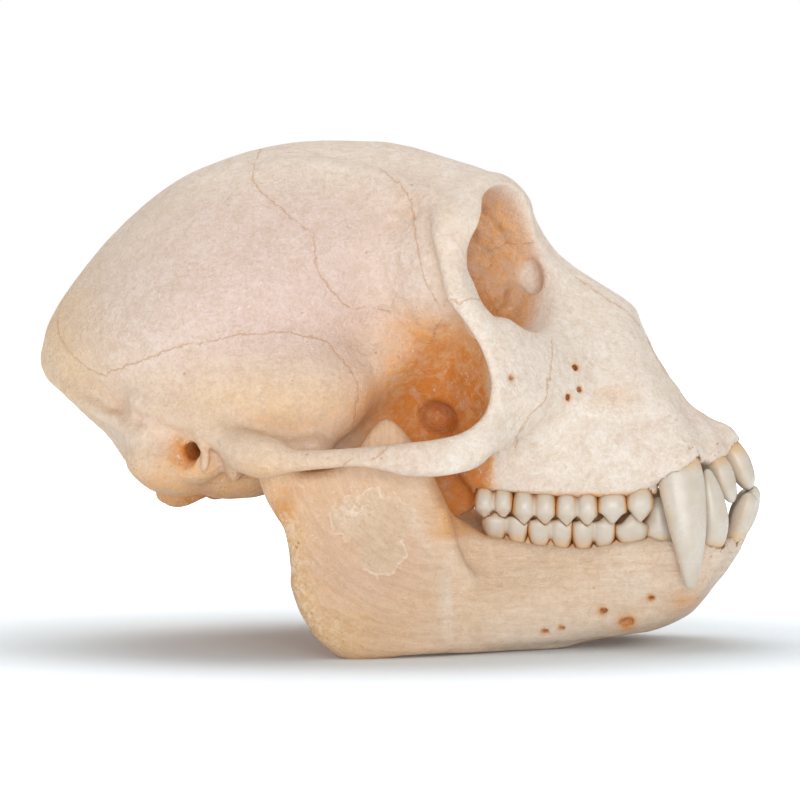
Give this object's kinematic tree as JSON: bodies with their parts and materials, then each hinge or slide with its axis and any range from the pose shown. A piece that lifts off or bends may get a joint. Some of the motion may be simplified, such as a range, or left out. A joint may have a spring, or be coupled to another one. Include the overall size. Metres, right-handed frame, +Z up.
{
  "type": "mona monkey skull",
  "caption": "Dry skull of an adult monkey with long canine teeth, its lower jaw in place and its teeth closed. It stands on the underside of the jaw.",
  "frame": {"origin": "middle of the bounding box on the plane that the jaw stands on", "axes": "+X is where the face looks, +Y is the skull's own left side, +Z is up"},
  "size_m": [0.1051, 0.0674, 0.0728],
  "materials": {
    "cranium_bone": "dry matte bone",
    "jaw_bone": "dry matte bone, warmer in colour",
    "enamel": "smooth, slightly glossy tooth enamel"
  },
  "bodies": {
    "root": {"cranium": "cranium_bone", "mandible": "jaw_bone", "tooth_upper_right_incisor_1": "enamel", "tooth_upper_right_incisor_2": "enamel", "tooth_upper_right_canine": "enamel", "tooth_upper_right_premolar_3": "enamel", "tooth_upper_right_premolar_4": "enamel", "tooth_upper_right_molar_1": "enamel", "tooth_upper_right_molar_2": "enamel", "tooth_upper_right_molar_3": "enamel", "tooth_upper_left_incisor_1": "enamel", "tooth_upper_left_incisor_2": "enamel", "tooth_upper_left_canine": "enamel", "tooth_upper_left_premolar_3": "enamel", "tooth_upper_left_premolar_4": "enamel", "tooth_upper_left_molar_1": "enamel", "tooth_upper_left_molar_2": "enamel", "tooth_upper_left_molar_3": "enamel", "tooth_lower_right_incisor_1": "enamel", "tooth_lower_right_incisor_2": "enamel", "tooth_lower_right_canine": "enamel", "tooth_lower_right_premolar_3": "enamel", "tooth_lower_right_premolar_4": "enamel", "tooth_lower_right_molar_1": "enamel", "tooth_lower_right_molar_2": "enamel", "tooth_lower_right_molar_3": "enamel", "tooth_lower_left_incisor_1": "enamel", "tooth_lower_left_incisor_2": "enamel", "tooth_lower_left_canine": "enamel", "tooth_lower_left_premolar_3": "enamel", "tooth_lower_left_premolar_4": "enamel", "tooth_lower_left_molar_1": "enamel", "tooth_lower_left_molar_2": "enamel", "tooth_lower_left_molar_3": "enamel"}
  },
  "joints": []
}
